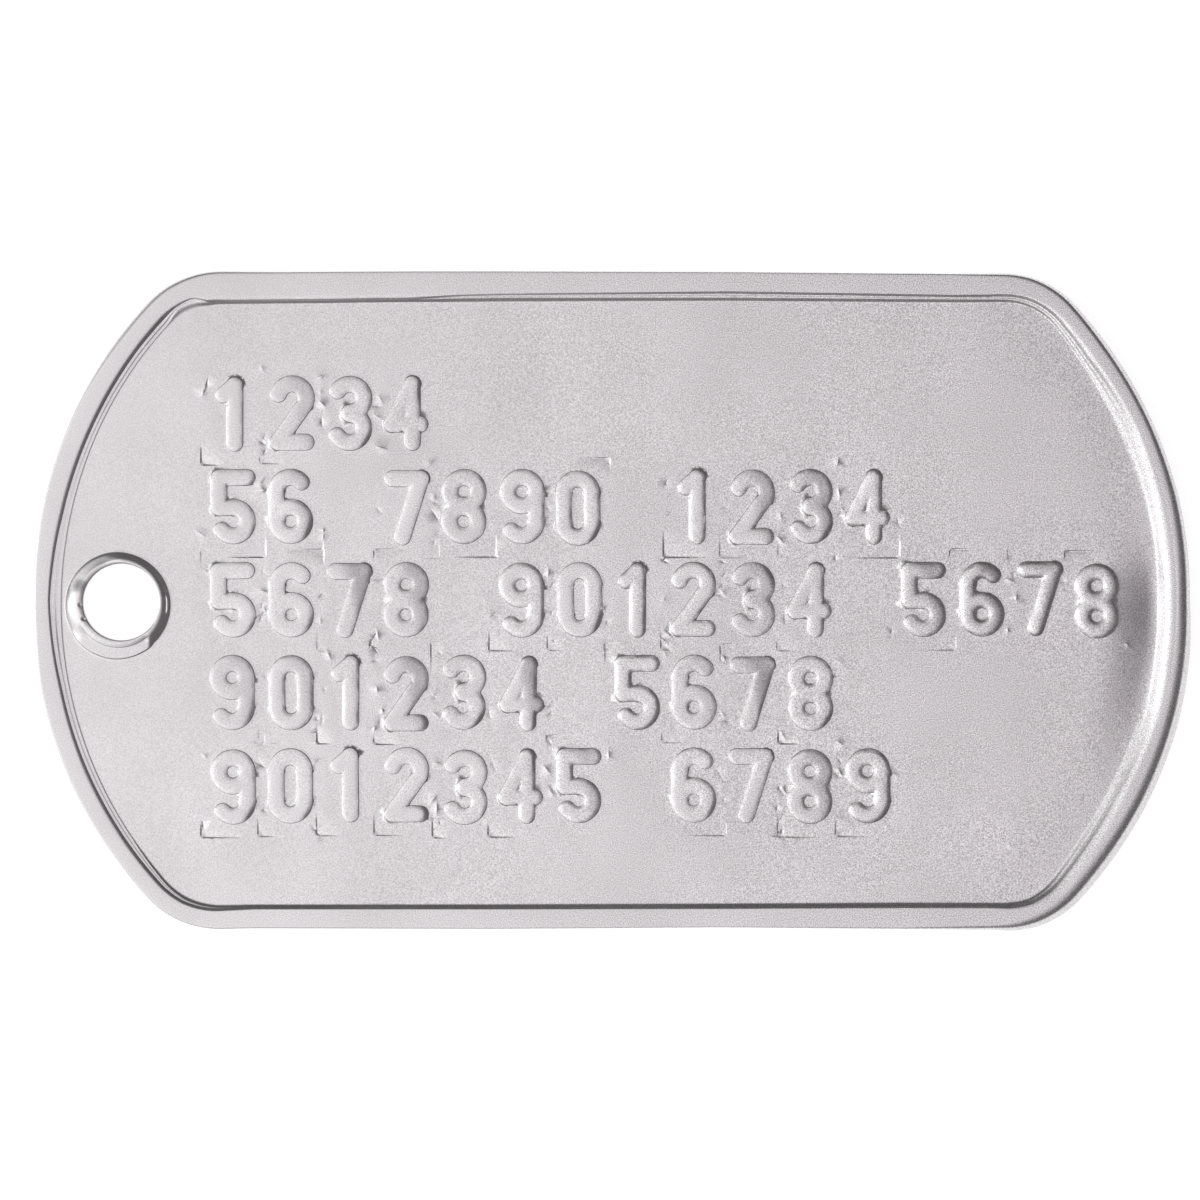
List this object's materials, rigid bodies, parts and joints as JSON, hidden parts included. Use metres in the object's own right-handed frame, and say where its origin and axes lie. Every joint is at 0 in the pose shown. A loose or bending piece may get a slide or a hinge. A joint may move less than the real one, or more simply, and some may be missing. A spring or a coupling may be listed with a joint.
{
  "type": "identification dog tag",
  "caption": "Oblong steel identification tag with rounded ends, a rolled rim, a collared chain hole and embossed rows of plain numerals.",
  "frame": {"origin": "middle of the tag's outline, on the plane that its hem lies on", "axes": "+X along the tag away from the hole, +Y across it towards the first row of numerals, +Z out of the embossed face"},
  "size_m": [0.0508, 0.0288, 0.0011],
  "materials": {
    "satin_steel": "fine satin stainless steel"
  },
  "bodies": {
    "root": {"tag_plate": "satin_steel"}
  },
  "joints": []
}
